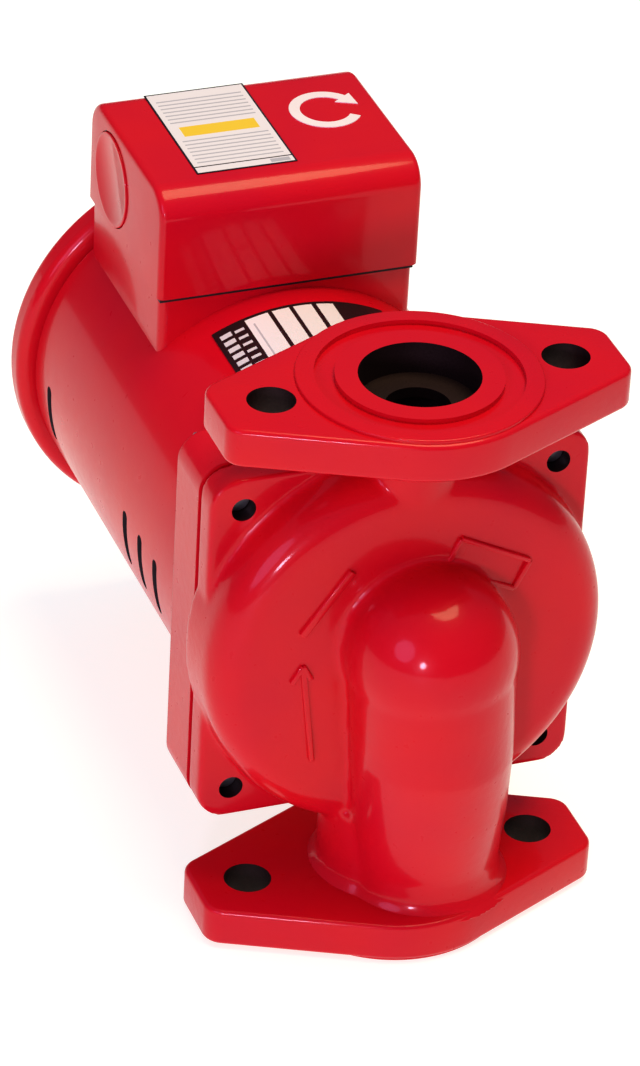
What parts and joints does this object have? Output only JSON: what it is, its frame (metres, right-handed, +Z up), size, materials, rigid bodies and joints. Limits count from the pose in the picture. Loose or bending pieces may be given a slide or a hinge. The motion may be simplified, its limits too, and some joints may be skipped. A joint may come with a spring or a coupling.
{
  "type": "circulator pump",
  "caption": "Close-coupled inline circulator pump: flanged volute casing, square bracket, round vented motor with end bell, and a box-shaped terminal cover on top.",
  "frame": {"origin": "centre of the bottom flange's gasket face", "axes": "+Z up the pipe line to the top flange, +Y back along the motor shaft, +X to the right seen from the front"},
  "size_m": [0.112, 0.209, 0.1668],
  "materials": {
    "red_casting": "gloss",
    "red_housing": "gloss",
    "red_sheet": "gloss",
    "gasket_fibre": "matte",
    "zinc_steel": "satin",
    "bearing_steel": "polished",
    "shaft_steel": "ground",
    "cage_steel": "satin",
    "lamination_steel": "satin",
    "cast_aluminium": "cast",
    "copper_wire": "enamelled",
    "brass": "turned",
    "seal_ceramic": "lapped",
    "seal_carbon": "lapped",
    "black_rubber": "matte",
    "impeller_plastic": "moulded",
    "fan_plastic": "moulded",
    "block_plastic": "moulded",
    "capacitor_can": "moulded",
    "wire_insulation": "extruded",
    "green_zinc": "satin",
    "plate_print": "printed",
    "label_film": "printed",
    "white_print": "printed"
  },
  "bodies": {
    "pump_frame": {"volute_casing": "red_casting", "casing_gasket": "gasket_fibre", "motor_bracket": "red_casting", "bracket_screws": "zinc_steel", "seal_seat": "seal_ceramic", "seal_seat_cup": "black_rubber", "bearing_retaining_ring": "cage_steel", "front_outer_race": "bearing_steel", "rear_outer_race": "bearing_steel", "preload_spring": "cage_steel", "motor_housing": "red_housing", "stator_core": "lamination_steel", "stator_windings": "copper_wire", "thermal_protector": "block_plastic", "end_bell": "red_housing", "through_bolts": "zinc_steel", "lead_grommet": "black_rubber", "lead_wires": "wire_insulation", "terminal_block": "block_plastic", "terminal_screws": "brass", "run_capacitor": "capacitor_can", "capacitor_strap": "zinc_steel", "capacitor_leads": "wire_insulation", "ground_screw": "green_zinc", "cover_gasket": "black_rubber", "terminal_cover": "red_sheet", "cover_screws": "zinc_steel", "knockout_discs": "red_sheet", "nameplate": "plate_print", "cover_label": "label_film", "rotation_mark": "white_print"},
    "rotor": {"shaft": "shaft_steel", "impeller": "impeller_plastic", "impeller_insert": "brass", "impeller_nut": "brass", "seal_head": "seal_carbon", "seal_bellows": "black_rubber", "seal_spring": "shaft_steel", "slinger": "black_rubber", "front_inner_race": "bearing_steel", "rear_inner_race": "bearing_steel", "rotor_core": "lamination_steel", "rotor_cage": "cast_aluminium", "cooling_fan": "fan_plastic"},
    "front_ball_train": {"front_balls": "bearing_steel", "front_cage": "cage_steel"},
    "rear_ball_train": {"rear_balls": "bearing_steel", "rear_cage": "cage_steel"}
  },
  "joints": [
    {"name": "rotor_spin", "type": "hinge", "parent": "pump_frame", "child": "rotor", "pos_m": [0, 0.08, 0.081], "axis": [0, 1, 0], "continuous": true},
    {"name": "front_ball_train_spin", "type": "hinge", "parent": "pump_frame", "child": "front_ball_train", "pos_m": [0, 0.038, 0.081], "axis": [0, 1, 0], "continuous": true},
    {"name": "rear_ball_train_spin", "type": "hinge", "parent": "pump_frame", "child": "rear_ball_train", "pos_m": [0, 0.146, 0.081], "axis": [0, 1, 0], "continuous": true}
  ],
  "couplings": [
    {"joint": "front_ball_train_spin", "follows": "rotor_spin", "ratio": 0.3648},
    {"joint": "rear_ball_train_spin", "follows": "rotor_spin", "ratio": 0.3648}
  ]
}
